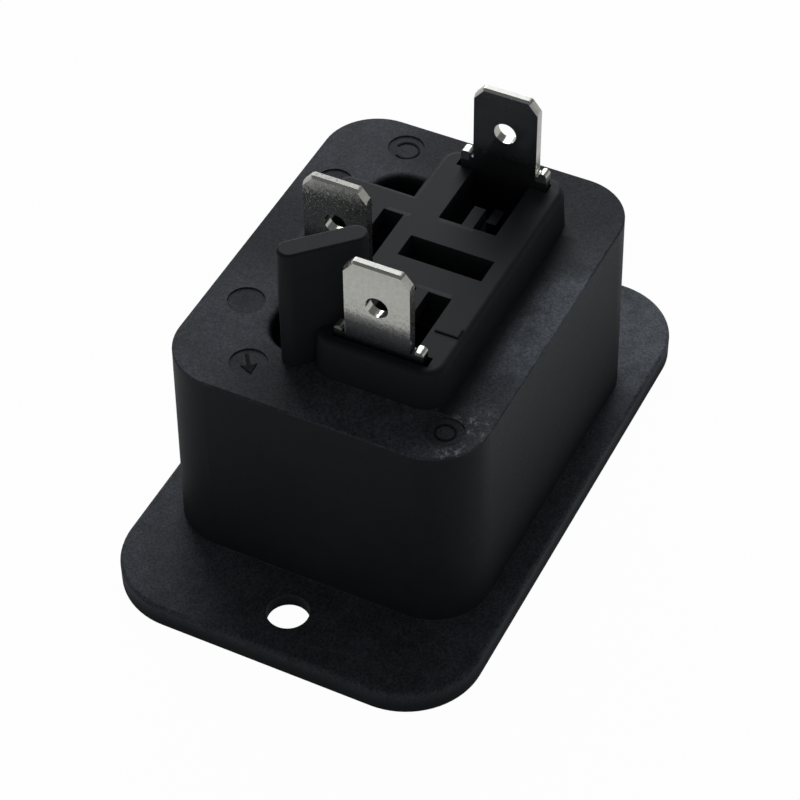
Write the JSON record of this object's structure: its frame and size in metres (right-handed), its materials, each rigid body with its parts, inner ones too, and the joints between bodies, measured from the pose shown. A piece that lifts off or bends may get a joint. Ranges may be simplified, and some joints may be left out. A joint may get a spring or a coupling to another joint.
{
  "type": "panel-mount appliance outlet",
  "caption": "Rectangular flanged panel outlet for appliance power cords, black moulded body with a recessed nose at the front and flat plated push-on tabs at the rear.",
  "frame": {"origin": "centre of the flange's front face, which the part lies on", "axes": "+X along the flange from the line tab to the neutral tab, +Y towards the earth tab, +Z from the front face to the rear, along the tabs"},
  "size_m": [0.0478, 0.0298, 0.0308],
  "materials": {
    "black_plastic": "matte, fine grained, glass-filled",
    "plated_metal": "tin-plated copper alloy, satin"
  },
  "bodies": {
    "root": {"socket_housing": "black_plastic", "line_contact": "plated_metal", "neutral_contact": "plated_metal", "earth_contact": "plated_metal"}
  },
  "joints": []
}
